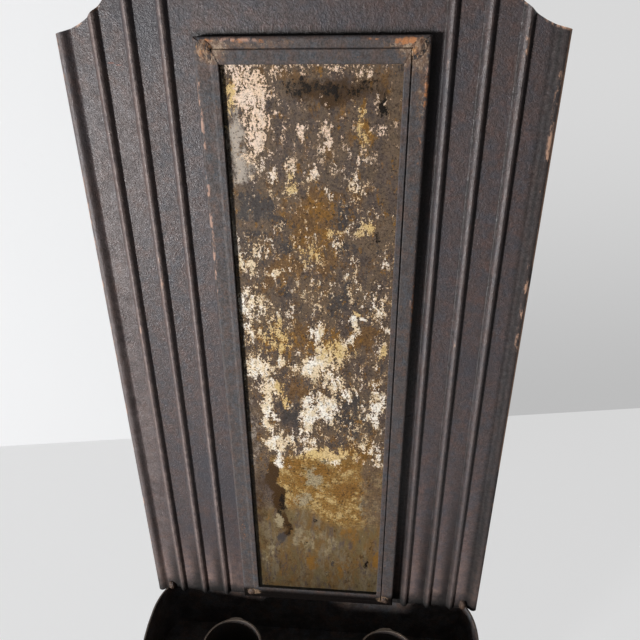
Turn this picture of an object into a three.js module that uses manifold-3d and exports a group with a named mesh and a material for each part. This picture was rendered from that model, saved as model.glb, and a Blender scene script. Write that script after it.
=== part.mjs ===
import * as THREE from 'three';
import Module from 'manifold-3d';
import { mergeVertices } from 'three/addons/utils/BufferGeometryUtils.js';

// Mirror candle sconce in patinated tin: a beaded backplate with scooped top corners,
// a narrow framed mirror on it, and a deep drip pan with two candle cups at its foot.
// Lengths are in millimetres. X runs to the right, Y to the wall, Z up.
// The pan stands on Z = 0 and X = 0 is the middle of the plate.

// Sheet metal
const sheet = 0.7;
const frameSheet = 0.6;
const cutGap = 0.3;

// Drip pan
const panHeight = 27.5;
const panDepth = 60;
const panBulge = 4.5;
const panCornerInsetShare = 0.25;
const panWidestFromBack = 16;
const panCornerOut = 2.4;
const panCornerForward = 2.9;
const panCornerHandle = 7.5;
const panSideHandle = 28;
const panFrontFlatHalf = 36;
const panFrontHandle = 30;
const panCurveSteps = 12;

// Backplate
const plateWidth = 152;
const plateLap = 2;
const tipAboveFrame = 1.1;
const scoopRadius = 30;
const scoopStart = 12 * Math.PI / 180;
const scoopSteps = 14;
const beadHeight = 1.7;
const beadHalf = 2;
const edgeBeadHalf = 3.1;
const beadEdgeInset = 1.4;
const beadFromFrame = 7.6;
const beadCount = 3;
const beadSteps = 12;
const hangHoleRadius = 4;
const hangHoleDrop = 9;
const holeSteps = 32;

// Mirror frame
const frameWidth = 70;
const frameHeight = 239;
const frameFoot = 0.8;
const frameOffset = 1.8;
const frameRise = 4.4;
const frameFold = 1.1;
const seamFold = 0.7;
const foldSteps = 5;
const stileFace = 5.6;
const stileLip = 2;
const railFace = 3.5;
const railLip = 4.1;
const ledgeReach = 1.2;
const lipProud = 0.5;
const lipEdge = 0.25;
const mitreGap = 0.15;
const overshoot = 1.5;

// Mirror
const glassThick = 1.2;
const silverThick = 0.2;
const glassPlay = 0.3;
const silverInset = 0.4;

// Candle cups
const cupRadius = 13;
const cupSpacing = 68;
const cupSteps = 60;
const lapSweep = 0.34;
const lapRamp = 0.2;
const lapMiddle = Math.PI / 2;

// Solder
const ringWidth = 1.9;
const ringHeight = 1.5;
const ringTuck = 0.6;
const cornerLongShare = 0.46;
const cornerWideShare = 0.31;
const footSolderShare = 0.6;
const cornerRise = 0.9;
const cornerDepth = 3.1;
const lumpRings = 9;
const lumpSteps = 26;
const lumpWobbleShare = 0.1;
const seamWideShare = 0.3;
const seamOut = 2;
const seamHigh = 2.6;

// Derived places
const backY = panDepth / 2;
const plateBackY = backY - sheet;
const plateFrontY = plateBackY - sheet;
const plateMiddleY = (plateBackY + plateFrontY) / 2;
const frontY = -panDepth / 2;
const panWidestY = backY - panWidestFromBack;
const halfPlate = plateWidth / 2;
const plateBottom = panHeight - plateLap;
const frameHalf = frameWidth / 2;
const frameHalfHeight = frameHeight / 2;
const frameMiddleZ = panHeight + frameFoot + frameHalfHeight;
const tipHeight = frameMiddleZ + frameHalfHeight + tipAboveFrame;
const scoopEnd = Math.PI / 2 - scoopStart;
const scoopReach = scoopRadius * (Math.cos(scoopStart) - Math.cos(scoopEnd));
const plateTop = tipHeight + scoopReach;
const edgeBeadX = halfPlate - beadEdgeInset;
const beadPitch = (edgeBeadX - frameHalf - beadFromFrame) / beadCount;
const edgeGap = beadPitch - beadHalf - edgeBeadHalf;
const panBackHalf = edgeBeadX - edgeBeadHalf - edgeGap * panCornerInsetShare;
const panHalf = panBackHalf + panBulge;
const lipTop = frameRise + lipProud;
const glassFront = lipTop - frameSheet;
const glassBack = glassFront - glassThick;
const ledgeTop = glassBack - silverThick;
const glassHalf = frameHalf - stileFace - frameSheet - glassPlay;
const glassHalfHeight = frameHalfHeight - railFace - frameSheet - glassPlay;
const silverHalf = glassHalf - silverInset;
const silverHalfHeight = glassHalfHeight - silverInset;
const cupX = cupSpacing / 2;

// Finishes
const japanned = { colour: 0x3a302c, roughness: 0.55, metalness: 0.5 };
const moulding = { colour: 0x40352f, roughness: 0.5, metalness: 0.5 };
const panInside = { colour: 0x352d2b, roughness: 0.6, metalness: 0.45 };
const solder = { colour: 0x8a6a4c, roughness: 0.6, metalness: 0.4 };
const foxedSilver = { colour: 0x9a8d72, roughness: 0.35, metalness: 0.6 };
const oldGlass = { colour: 0xdfe5e2, roughness: 0.08, metalness: 0 };

const wasm = await Module();
wasm.setup();

const sconce = new THREE.Group();
sconce.name = 'mirror_candle_sconce';

// The framed mirror sits a little to the right of the middle of the plate.
const framedMirror = new THREE.Group();
framedMirror.name = 'framed_mirror';
framedMirror.position.x = frameOffset;
sconce.add(framedMirror);

function place(name, geometry, finish, carrier = sconce) {
  const mesh = new THREE.Mesh(geometry, new THREE.MeshStandardMaterial({
    color: finish.colour,
    roughness: finish.roughness,
    metalness: finish.metalness
  }));
  mesh.name = name;
  carrier.add(mesh);
}

function solidOf(geometry) {
  const bare = geometry.clone();
  bare.deleteAttribute('normal');
  bare.deleteAttribute('uv');
  const welded = mergeVertices(bare);
  return new wasm.Manifold(new wasm.Mesh({
    numProp: 3,
    vertProperties: new Float32Array(welded.attributes.position.array),
    triVerts: new Uint32Array(welded.index.array)
  }));
}

function geometryOf(solid) {
  const mesh = solid.getMesh();
  const geometry = new THREE.BufferGeometry();
  geometry.setAttribute('position', new THREE.Float32BufferAttribute(mesh.vertProperties, mesh.numProp));
  geometry.setIndex(Array.from(mesh.triVerts));
  const flat = geometry.toNonIndexed();
  flat.computeVertexNormals();
  return flat;
}

function shapeOf(points) {
  return new THREE.Shape(points.map(([x, y]) => new THREE.Vector2(x, y)));
}

// An outline in X and Y, raised along Z.
function upright(shape, bottom, top) {
  const geometry = new THREE.ExtrudeGeometry(shape, { depth: top - bottom, bevelEnabled: false });
  return geometry.translate(0, 0, bottom);
}

// An outline in X and Z, given depth along Y.
function standing(shape, front, back) {
  const geometry = new THREE.ExtrudeGeometry(shape, {
    depth: back - front,
    bevelEnabled: false,
    curveSegments: holeSteps
  });
  return geometry.rotateX(Math.PI / 2).translate(0, back, 0);
}

// A block between two places on each axis, given in either order.
function block(xs, ys, zs) {
  const spans = [xs, ys, zs].map(pair => [Math.min(...pair), Math.max(...pair)]);
  const geometry = new THREE.BoxGeometry(...spans.map(([low, high]) => high - low));
  return geometry.translate(...spans.map(([low, high]) => (low + high) / 2));
}

function mirrored(points) {
  return points.map(([x, y]) => [-x, y]).reverse();
}

// Direction of a line at one of its points.
function headingAt(line, i) {
  const before = line[Math.max(i - 1, 0)];
  const after = line[Math.min(i + 1, line.length - 1)];
  const along = Math.hypot(after[0] - before[0], after[1] - before[1]);
  return [(after[0] - before[0]) / along, (after[1] - before[1]) / along];
}

// Backplate. Beads are pressed forward out of the sheet, the last one ending at the cut edge.
function bump(distance, half) {
  return beadHeight * (1 + Math.cos(Math.PI * distance / half)) / 2;
}

function beadLine() {
  const line = [[0, 0]];
  for (let bead = 1; bead <= beadCount; bead += 1) {
    const centre = edgeBeadX - (beadCount + 1 - bead) * beadPitch;
    for (let i = 0; i <= beadSteps; i += 1) {
      const distance = beadHalf * (2 * i / beadSteps - 1);
      line.push([centre + distance, bump(distance, beadHalf)]);
    }
  }
  for (let i = 0; i <= beadSteps; i += 1) {
    const distance = (edgeBeadHalf + beadEdgeInset + cutGap) * i / beadSteps - edgeBeadHalf;
    line.push([edgeBeadX + distance, bump(distance, edgeBeadHalf)]);
  }
  return line;
}

function beadedSection() {
  const right = beadLine();
  const line = mirrored(right.slice(1)).concat(right);
  const front = [];
  const back = [];
  line.forEach(([x, rise], i) => {
    const [dx, dr] = headingAt(line, i);
    front.push([x - dr * sheet / 2, plateMiddleY - rise - dx * sheet / 2]);
    back.push([x + dr * sheet / 2, plateMiddleY - rise + dx * sheet / 2]);
  });
  return shapeOf(front.concat(back.reverse()));
}

function plateOutline() {
  const centreX = halfPlate + scoopRadius * Math.sin(scoopStart);
  const centreZ = tipHeight + scoopRadius * Math.cos(scoopStart);
  const scoop = Array.from({ length: scoopSteps + 1 }, (_, i) => {
    const angle = scoopStart + (scoopEnd - scoopStart) * i / scoopSteps;
    return [centreX - scoopRadius * Math.sin(angle), centreZ - scoopRadius * Math.cos(angle)];
  });
  const right = [[halfPlate, plateBottom]].concat(scoop);
  const shape = shapeOf(right.concat(mirrored(right)));
  const hole = new THREE.Path();
  hole.absarc(0, plateTop - hangHoleDrop, hangHoleRadius, 0, Math.PI * 2, true);
  shape.holes.push(hole);
  return shape;
}

function backplate() {
  const beaded = solidOf(upright(beadedSection(), plateBottom - overshoot, plateTop + overshoot));
  const cut = solidOf(standing(plateOutline(), plateFrontY - beadHeight - overshoot, backY + overshoot));
  return geometryOf(beaded.intersect(cut));
}

// Drip pan. The line runs from the right back corner round the front to the left one.
function panLine() {
  const side = new THREE.CurvePath();
  const widest = new THREE.Vector2(panHalf, panWidestY);
  side.add(new THREE.CubicBezierCurve(
    new THREE.Vector2(panBackHalf, plateBackY),
    new THREE.Vector2(panBackHalf + panCornerOut, plateBackY - panCornerForward),
    new THREE.Vector2(panHalf, panWidestY + panCornerHandle),
    widest
  ));
  side.add(new THREE.CubicBezierCurve(
    widest,
    new THREE.Vector2(panHalf, panWidestY - panSideHandle),
    new THREE.Vector2(panFrontFlatHalf + panFrontHandle, frontY),
    new THREE.Vector2(panFrontFlatHalf, frontY)
  ));
  const right = side.getPoints(panCurveSteps).map(p => [p.x, p.y]);
  return right.concat(mirrored(right));
}

// The same line moved inward, with its two ends kept on the back plane.
function insetLine(line, distance) {
  return line.map(([x, y], i) => {
    const [dx, dy] = headingAt(line, i);
    if (i === 0 || i === line.length - 1) {
      return [x + distance / dy, y];
    }
    return [x + dy * distance, y - dx * distance];
  });
}

function bandShape(line, outerInset, innerInset) {
  return shapeOf(insetLine(line, outerInset).concat(insetLine(line, innerInset).reverse()));
}

const panOuter = panLine();

function panWall() {
  const band = solidOf(upright(bandShape(panOuter, 0, sheet), sheet, panHeight));
  const notch = block(
    [-halfPlate, halfPlate],
    [plateFrontY - cutGap, backY],
    [plateBottom - cutGap, panHeight + overshoot]
  );
  return geometryOf(band.subtract(solidOf(notch)));
}

function panFloor() {
  const corner = [panBackHalf, backY];
  const outline = [corner].concat(panOuter, [[-panBackHalf, backY]]);
  return upright(shapeOf(outline), 0, sheet);
}

function panBack() {
  return block([-panBackHalf, panBackHalf], [plateBackY, backY], [sheet, panHeight]);
}

// Candle cups. Each is one strip rolled to a tube, its end lapped over its beginning at the back.
function cupOutline(extra) {
  return Array.from({ length: cupSteps }, (_, i) => {
    const angle = 2 * Math.PI * i / cupSteps;
    const past = angle - (lapMiddle - lapSweep / 2);
    const onLap = past >= 0 && past <= lapSweep;
    const onRamp = past > lapSweep && past <= lapSweep + lapRamp;
    const ramp = onRamp ? 1 - (past - lapSweep) / lapRamp : 0;
    const radius = cupRadius + extra + sheet * (onLap ? 1 : ramp);
    return [radius * Math.cos(angle), radius * Math.sin(angle)];
  });
}

function candleCup(x) {
  const shape = shapeOf(cupOutline(0));
  const inside = Array.from({ length: cupSteps }, (_, i) => {
    const angle = -2 * Math.PI * i / cupSteps;
    return new THREE.Vector2((cupRadius - sheet) * Math.cos(angle), (cupRadius - sheet) * Math.sin(angle));
  });
  shape.holes.push(new THREE.Path(inside));
  return upright(shape, sheet, panHeight).translate(x, 0, 0);
}

function cupSolder(x) {
  const inner = cupRadius - ringTuck;
  const outer = cupRadius + ringWidth;
  const profile = [
    [inner, sheet],
    [outer, sheet],
    [cupRadius + ringWidth / 2, sheet + ringHeight / 3],
    [cupRadius + ringWidth / 4, sheet + ringHeight],
    [inner, sheet + ringHeight],
    [inner, sheet]
  ].map(([r, z]) => new THREE.Vector2(r, z));
  const ring = solidOf(new THREE.LatheGeometry(profile, cupSteps).rotateX(Math.PI / 2));
  const tube = solidOf(upright(shapeOf(cupOutline(cutGap)), 0, panHeight));
  return geometryOf(ring.subtract(tube)).translate(x, 0, 0);
}

// Mirror frame. Sections lie with u running inward from the outer edge and v rising off the plate.
function foldArc(centreU, centreV, radius, from, to) {
  return Array.from({ length: foldSteps + 1 }, (_, i) => {
    const angle = from + (to - from) * i / foldSteps;
    return [centreU + radius * Math.cos(angle), centreV + radius * Math.sin(angle)];
  });
}

// The moulding's inner leg ends in a ledge that carries the mirror from behind.
function mouldingSection(face) {
  const outerV = frameRise - frameFold;
  const innerV = frameRise - seamFold;
  const ledgeUnder = ledgeTop - frameSheet;
  const quarter = Math.PI / 2;
  return shapeOf([[0, 0]].concat(
    foldArc(frameFold, outerV, frameFold, Math.PI, quarter),
    foldArc(face - seamFold, innerV, seamFold, quarter, 0),
    [[face, ledgeTop], [face + ledgeReach, ledgeTop]],
    [[face + ledgeReach, ledgeUnder], [face - frameSheet, ledgeUnder]],
    foldArc(face - seamFold, innerV, seamFold - frameSheet, 0, quarter),
    foldArc(frameFold, outerV, frameFold - frameSheet, quarter, Math.PI),
    [[frameSheet, 0]]
  ));
}

// The lip stands on that ledge, laps over the glass and lies a little proud of the moulding.
function lipSection(face, lip) {
  const end = face + lip;
  return shapeOf([
    [face, ledgeTop],
    [face, lipTop - lipEdge],
    [face + lipEdge, lipTop],
    [end - lipEdge, lipTop],
    [end, lipTop - lipEdge],
    [end, glassFront],
    [face + frameSheet, glassFront],
    [face + frameSheet, ledgeTop]
  ]);
}

// One length of a section, laid with its outer edge along one side of the frame.
function member(section, inward, at, span) {
  const toMiddle = new THREE.Vector3(inward[0], 0, inward[1]);
  const offPlate = new THREE.Vector3(0, -1, 0);
  const along = new THREE.Vector3().crossVectors(toMiddle, offPlate);
  const geometry = new THREE.ExtrudeGeometry(section, { depth: span, bevelEnabled: false });
  geometry.translate(0, 0, -span / 2);
  geometry.applyMatrix4(new THREE.Matrix4().makeBasis(toMiddle, offPlate, along));
  return geometry.translate(at[0], plateFrontY, frameMiddleZ + at[1]);
}

// A member is kept between the two mitres, which run on a line from an outer to an inner corner.
function mitred(geometry, corners) {
  const region = standing(shapeOf(corners), plateFrontY - frameRise - overshoot, backY);
  region.translate(0, 0, frameMiddleZ);
  return geometryOf(solidOf(geometry).intersect(solidOf(region)));
}

function mitreLine(outer, inner) {
  const across = (outer[0] - inner[0]) * overshoot / (outer[1] - inner[1]);
  return [
    [outer[0] + across, outer[1] + overshoot],
    [inner[0] - across, inner[1] - overshoot]
  ];
}

function stile(section, hand, line) {
  const upper = line.map(([x, z]) => [hand * x, z - mitreGap]);
  const lower = upper.map(([x, z]) => [x, -z]).reverse();
  return mitred(member(section, [-hand, 0], [hand * frameHalf, 0], frameHeight), upper.concat(lower));
}

function rail(section, hand, line) {
  const right = line.map(([x, z]) => [x, hand * (z + mitreGap)]);
  return mitred(
    member(section, [0, -hand], [0, hand * frameHalfHeight], frameWidth),
    right.concat(mirrored(right))
  );
}

const mouldingMitre = mitreLine(
  [frameHalf, frameHalfHeight],
  [frameHalf - stileFace, frameHalfHeight - railFace]
);
const lipMitre = mitreLine(
  [frameHalf - stileFace, frameHalfHeight - railFace],
  [frameHalf - stileFace - stileLip, frameHalfHeight - railFace - railLip]
);

// Mirror
function pane(half, halfHeight, rise, thick) {
  return block(
    [-half, half],
    [plateFrontY - rise - thick, plateFrontY - rise],
    [frameMiddleZ - halfHeight, frameMiddleZ + halfHeight]
  );
}

// Solder. Each lump is a drop with a slightly uneven skin, trimmed to the sheet that it lies on.
function drop(radii, seed) {
  const geometry = new THREE.SphereGeometry(1, lumpSteps, lumpRings);
  const spots = geometry.attributes.position;
  const p = new THREE.Vector3();
  for (let i = 0; i < spots.count; i += 1) {
    p.fromBufferAttribute(spots, i);
    const wave = Math.sin(3 * p.x + seed) * Math.cos(4 * p.z - seed) + Math.sin(5 * p.z + 2 * seed) / 2;
    p.multiplyScalar(1 + lumpWobbleShare * wave * (1 - p.y * p.y));
    spots.setXYZ(i, p.x * radii[0], p.y * radii[1], p.z * radii[2]);
  }
  return geometry;
}

function cornerSolder(handX, handZ, seed, share) {
  const faceY = plateFrontY - frameRise;
  const across = stileFace + stileLip;
  const up = railFace + railLip;
  const mitre = Math.hypot(across, up) * share;
  const geometry = drop([mitre * cornerLongShare, cornerDepth, mitre * cornerWideShare], seed);
  geometry.rotateY(-handX * handZ * Math.atan2(up, across));
  geometry.translate(
    handX * (frameHalf - across / 2),
    faceY - cornerRise + cornerDepth,
    frameMiddleZ + handZ * (frameHalfHeight - up / 2)
  );
  const insideX = handX * (frameHalf - stileFace + cutGap);
  const insideZ = frameMiddleZ + handZ * (frameHalfHeight - railFace + cutGap);
  const outsideX = handX * halfPlate;
  const outsideZ = frameMiddleZ + handZ * plateTop;
  const overFaces = block([0, outsideX], [faceY, backY], [frameMiddleZ, outsideZ]);
  const overLips = block([0, insideX], [plateFrontY - lipTop, backY], [frameMiddleZ, insideZ]);
  return geometryOf(solidOf(geometry).subtract(solidOf(overFaces)).subtract(solidOf(overLips)));
}

function seamSolder(hand, seed) {
  const geometry = drop([edgeGap * seamWideShare, seamOut, seamHigh], seed);
  geometry.translate(hand * (panBackHalf - sheet / 2), plateFrontY, panHeight);
  const behind = block([0, hand * plateWidth], [plateFrontY, backY + overshoot], [0, plateTop]);
  const band = upright(bandShape(panOuter, -cutGap, sheet + cutGap), 0, panHeight + cutGap);
  return geometryOf(solidOf(geometry).subtract(solidOf(behind)).subtract(solidOf(band)));
}

place('backplate', backplate(), japanned);
place('pan_floor', panFloor(), panInside);
place('pan_wall', panWall(), japanned);
place('pan_back', panBack(), panInside);
place('pan_seam_solder_left', seamSolder(-1, 1), solder);
place('pan_seam_solder_right', seamSolder(1, 2), solder);
place('candle_cup_left', candleCup(-cupX), panInside);
place('candle_cup_right', candleCup(cupX), panInside);
place('cup_solder_left', cupSolder(-cupX), solder);
place('cup_solder_right', cupSolder(cupX), solder);
place('frame_stile_left', stile(mouldingSection(stileFace), -1, mouldingMitre), moulding, framedMirror);
place('frame_stile_right', stile(mouldingSection(stileFace), 1, mouldingMitre), moulding, framedMirror);
place('frame_rail_top', rail(mouldingSection(railFace), 1, mouldingMitre), moulding, framedMirror);
place('frame_rail_bottom', rail(mouldingSection(railFace), -1, mouldingMitre), moulding, framedMirror);
place('mirror_lip_left', stile(lipSection(stileFace, stileLip), -1, lipMitre), moulding, framedMirror);
place('mirror_lip_right', stile(lipSection(stileFace, stileLip), 1, lipMitre), moulding, framedMirror);
place('mirror_lip_top', rail(lipSection(railFace, railLip), 1, lipMitre), moulding, framedMirror);
place('mirror_lip_bottom', rail(lipSection(railFace, railLip), -1, lipMitre), moulding, framedMirror);
place('corner_solder_top_left', cornerSolder(-1, 1, 3, 1), solder, framedMirror);
place('corner_solder_top_right', cornerSolder(1, 1, 4, 1), solder, framedMirror);
place('corner_solder_bottom_left', cornerSolder(-1, -1, 5, footSolderShare), solder, framedMirror);
place('corner_solder_bottom_right', cornerSolder(1, -1, 6, footSolderShare), solder, framedMirror);
const silvering = pane(silverHalf, silverHalfHeight, ledgeTop, silverThick);
place('mirror_silvering', silvering, foxedSilver, framedMirror);
place('mirror_glass', pane(glassHalf, glassHalfHeight, glassBack, glassThick), oldGlass, framedMirror);

export default sconce;
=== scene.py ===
from math import pi, radians
import bmesh
import bpy
from mathutils import Matrix, Vector


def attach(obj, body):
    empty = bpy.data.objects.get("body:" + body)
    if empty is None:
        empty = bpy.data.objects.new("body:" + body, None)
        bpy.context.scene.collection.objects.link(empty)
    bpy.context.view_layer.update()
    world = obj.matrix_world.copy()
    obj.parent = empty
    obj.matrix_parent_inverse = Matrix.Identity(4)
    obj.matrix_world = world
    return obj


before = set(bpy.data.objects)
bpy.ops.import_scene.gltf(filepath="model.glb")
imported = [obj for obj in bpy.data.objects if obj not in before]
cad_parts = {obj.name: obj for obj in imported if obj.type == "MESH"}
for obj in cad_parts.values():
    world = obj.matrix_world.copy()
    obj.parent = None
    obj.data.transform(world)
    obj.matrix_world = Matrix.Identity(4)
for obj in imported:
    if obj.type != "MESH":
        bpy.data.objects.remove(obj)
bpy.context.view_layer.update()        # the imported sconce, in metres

scene = bpy.context.scene
scene.view_settings.view_transform = "Standard"
print("sconce loaded:", len(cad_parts), "nodes")


# Camera. It stands close, looks down at the mirror and is turned a little to the left.
camera = {
    "place": (0.019918, -0.158721, 0.265762),
    "turned": 4.962,        # degrees to the left
    "down": 26.017,
    "leaning": 0.449,
    "focalPixels": 570.96, "imageWide": 640, "filmWide": 36, "nearest": 0.005,
}


def addCamera(s):
    lens = bpy.data.cameras.new("photoCamera")
    lens.sensor_fit = "HORIZONTAL"
    lens.sensor_width = s["filmWide"]
    lens.lens = s["focalPixels"] / s["imageWide"] * s["filmWide"]
    lens.clip_start = s["nearest"]
    holder = bpy.data.objects.new("photoCamera", lens)
    scene.collection.objects.link(holder)
    turn = (Matrix.Rotation(radians(s["turned"]), 4, "Z")
            @ Matrix.Rotation(radians(90 - s["down"]), 4, "X")
            @ Matrix.Rotation(radians(-s["leaning"]), 4, "Z"))
    holder.matrix_world = Matrix.Translation(s["place"]) @ turn
    scene.camera = holder


addCamera(camera)
print("camera placed")


# Helpers for the node trees. A value is either a number or colour, or another node's output.
def feed(tree, socket, value):
    if isinstance(value, bpy.types.NodeSocket):
        tree.links.new(value, socket)
    else:
        socket.default_value = value


def calc(tree, operation, first, second=0.0, clamped=False):
    node = tree.nodes.new("ShaderNodeMath")
    node.operation = operation
    node.use_clamp = clamped
    feed(tree, node.inputs[0], first)
    feed(tree, node.inputs[1], second)
    return node.outputs[0]


def plus(tree, first, second):
    return calc(tree, "ADD", first, second)


def minus(tree, first, second):
    return calc(tree, "SUBTRACT", first, second)


def times(tree, first, second, clamped=False):
    return calc(tree, "MULTIPLY", first, second, clamped)


def apart(tree, first, second):
    return calc(tree, "ABSOLUTE", minus(tree, first, second))


def total(tree, values):
    result = values[0]
    for value in values[1:]:
        result = plus(tree, result, value)
    return result


def fade(tree, value, start, end, low=0.0, high=1.0):
    node = tree.nodes.new("ShaderNodeMapRange")
    node.interpolation_type = "SMOOTHSTEP"
    for socket, part in zip(node.inputs, (value, start, end, low, high)):
        feed(tree, socket, part)
    return node.outputs[0]


def shift(tree, operation, first, second=None):
    node = tree.nodes.new("ShaderNodeVectorMath")
    node.operation = operation
    feed(tree, node.inputs[0], first)
    if operation == "SCALE":
        feed(tree, node.inputs["Scale"], second)
    elif operation != "LENGTH":
        feed(tree, node.inputs[1], second)
    return node.outputs["Value" if operation == "LENGTH" else "Vector"]


def moved(tree, place, offset):
    return shift(tree, "ADD", place, offset)


def reach(tree, first, second):
    node = tree.nodes.new("ShaderNodeCombineXYZ")
    feed(tree, node.inputs[0], first)
    feed(tree, node.inputs[1], second)
    return shift(tree, "LENGTH", node.outputs[0])


def around(tree, noise, gain):
    return times(tree, minus(tree, noise, 0.5), gain)


def mixColours(tree, amount, first, second, mode="MIX"):
    node = tree.nodes.new("ShaderNodeMix")
    node.data_type = "RGBA"
    node.blend_type = mode
    feed(tree, node.inputs[0], amount)
    feed(tree, node.inputs[6], first)
    feed(tree, node.inputs[7], second)
    return node.outputs[2]


def shade(tree, colour, level):
    return mixColours(tree, 1.0, colour, shift(tree, "SCALE", (1, 1, 1), level), "MULTIPLY")


def inverse(tree, size):
    return calc(tree, "DIVIDE", 1.0, size) if isinstance(size, bpy.types.NodeSocket) else 1 / size


# A noise is given as (offset, size, detail, roughness), with lengths in millimetres
def cloud(tree, place, noise, output=0):
    offset, size, detail, rough = noise
    node = tree.nodes.new("ShaderNodeTexNoise")
    feed(tree, node.inputs["Vector"], shift(tree, "SCALE", moved(tree, place, offset), inverse(tree, size)))
    node.inputs["Scale"].default_value = 1
    node.inputs["Detail"].default_value = detail
    node.inputs["Roughness"].default_value = rough
    return node.outputs[output]


def paint(red, green, blue):
    def straight(level):
        level /= 255
        return level / 12.92 if level <= 0.04045 else ((level + 0.055) / 1.055) ** 2.4
    return (straight(red), straight(green), straight(blue), 1)


def newGroup(name, takes, gives):
    group = bpy.data.node_groups.new(name, "ShaderNodeTree")
    kinds = {"number": "NodeSocketFloat", "vector": "NodeSocketVector", "colour": "NodeSocketColor"}
    for label, kind in takes:
        group.interface.new_socket(name=label, in_out="INPUT", socket_type=kinds[kind])
    for label, kind in gives:
        group.interface.new_socket(name=label, in_out="OUTPUT", socket_type=kinds[kind])
    return group, group.nodes.new("NodeGroupInput").outputs, group.nodes.new("NodeGroupOutput").inputs


def useGroup(tree, group, values):
    node = tree.nodes.new("ShaderNodeGroup")
    node.node_tree = group
    for label, value in values.items():
        feed(tree, node.inputs[label], value)
    return node.outputs


def newMaterial(name):
    material = bpy.data.materials.new(name)
    material.use_nodes = True
    tree = material.node_tree
    place = tree.nodes.new("ShaderNodeTexCoord").outputs["Object"]
    return material, tree, tree.nodes["Principled BSDF"].inputs, shift(tree, "SCALE", place, 1000.0)


def split(tree, place, axes):
    node = tree.nodes.new("ShaderNodeSeparateXYZ")
    feed(tree, node.inputs[0], place)
    return [node.outputs[axis] for axis in axes]


# Lowest and highest corner of CAD nodes, in millimetres
def boxOf(*names):
    corners = [Vector(corner) * 1000 for name in names for corner in bpy.data.objects[name].bound_box]
    return [[pick(corner[axis] for corner in corners) for axis in range(3)] for pick in (min, max)]


frameNodes = ["frame_stile_left", "frame_stile_right", "frame_rail_top", "frame_rail_bottom"]
lipNodes = ["mirror_lip_left", "mirror_lip_right", "mirror_lip_top", "mirror_lip_bottom"]


# Middle and half size of the mirror frame, across and up
def frameSize():
    low, high = boxOf(*frameNodes)
    return [((low[axis] + high[axis]) / 2, (high[axis] - low[axis]) / 2) for axis in (0, 2)]


def coat(material, *names):
    for name in names:
        slots = bpy.data.objects[name].data.materials
        if len(slots):
            slots[0] = material
        else:
            slots.append(material)


# The last step of a finish. Bumps are as deep as s["bumps"] says, in millimetres.
def dress(material, tree, shader, s, colour, roughness, height, *names):
    feed(tree, shader["Base Color"], colour)
    feed(tree, shader["Roughness"], roughness)
    shader["Specular IOR Level"].default_value = s["specular"]
    bump = tree.nodes.new("ShaderNodeBump")
    bump.inputs["Distance"].default_value = s["bumps"] / 1000
    feed(tree, bump.inputs["Height"], height)
    tree.links.new(bump.outputs["Normal"], shader["Normal"])
    coat(material, *names)


# Dark patina of old tin: faint cool and warm mottling under a fine leathery skin.
# Lengths in the finishes are millimetres. A ramp is (from, to) or (from, to, value there, value beyond).
tin = {
    "coolFrom": (0, 0, 0), "coolDetail": (5, 0.7), "coolRamp": (0.4, 0.66),
    "warmFrom": (31, 17, 53), "warmDetail": (6, 0.72), "warmRamp": (0.44, 0.68),
    "grainFrom": (0, 0, 0), "grainDetail": (3, 0.65),
    "grainShade": (0.3, 0.7, 0.66, 1.34), "grainRough": (0.32, 0.68, 0.07, -0.07),
    "clumpFrom": (7, 0, 3), "clumpDetail": (3, 0.6), "clumpSize": 3.2,
    "clumpShade": (0.32, 0.68, 0.86, 1.14), "clumpRough": (0.3, 0.7, 0.08, -0.08),
    "pebbleSoftness": 0.5, "pebbleHeight": -0.2,
}


def makePatina(s):
    group, given, made = newGroup("tinPatina", [
        ("Place", "vector"), ("Base", "colour"), ("Cool", "colour"), ("Warm", "colour"),
        ("Cool Share", "number"), ("Warm Share", "number"), ("Blotch Size", "number"),
        ("Grain Size", "number")],
        [("Color", "colour"), ("Roughness", "number"), ("Height", "number")])
    place = given["Place"]

    def layer(name, size):
        return cloud(group, place, (s[name + "From"], size, *s[name + "Detail"]))

    coolPatch = fade(group, layer("cool", given["Blotch Size"]), *s["coolRamp"])
    warmPatch = fade(group, layer("warm", given["Blotch Size"]), *s["warmRamp"])
    grain = layer("grain", given["Grain Size"])
    clump = layer("clump", times(group, given["Grain Size"], s["clumpSize"]))
    pebble = group.nodes.new("ShaderNodeTexVoronoi")
    pebble.feature = "SMOOTH_F1"
    pebble.inputs["Scale"].default_value = 1
    pebble.inputs["Smoothness"].default_value = s["pebbleSoftness"]
    feed(group, pebble.inputs["Vector"], shift(group, "SCALE", place, inverse(group, given["Grain Size"])))
    pebbled = times(group, pebble.outputs["Distance"], s["pebbleHeight"])
    colour = mixColours(group, times(group, coolPatch, given["Cool Share"]), given["Base"], given["Cool"])
    colour = mixColours(group, times(group, warmPatch, given["Warm Share"]), colour, given["Warm"])
    speck = times(group, fade(group, grain, *s["grainShade"]), fade(group, clump, *s["clumpShade"]))
    feed(group, made["Color"], shade(group, colour, speck))
    feed(group, made["Roughness"], plus(group, fade(group, clump, *s["clumpRough"]),
                                        fade(group, grain, *s["grainRough"])))
    feed(group, made["Height"], total(group, [grain, clump, pebbled]))
    return group


# Wear that keeps to an edge or crest and is broken into streaks along it
streaked = {
    "stretch": (1, 1, 0.45), "detail": (5, 0.68),
    "coverRamp": (0.0, 1.0, 0.78, 0.3), "keptRamp": (-0.03, 0.07),
}


def makeRub(s):
    group, given, made = newGroup("rubbedEdge", [
        ("Place", "vector"), ("Distance", "number"), ("Reach", "number"), ("Cover", "number"),
        ("Streak Size", "number")], [("Mask", "number")])
    near = fade(group, given["Distance"], 0.0, given["Reach"], 1.0, 0.0)
    drawn = shift(group, "MULTIPLY", given["Place"], s["stretch"])
    streak = cloud(group, drawn, ((0, 0, 0), given["Streak Size"], *s["detail"]))
    level = fade(group, given["Cover"], *s["coverRamp"])
    kept = fade(group, minus(group, streak, level), *s["keptRamp"])
    feed(group, made["Mask"], times(group, near, kept))
    return group


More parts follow.
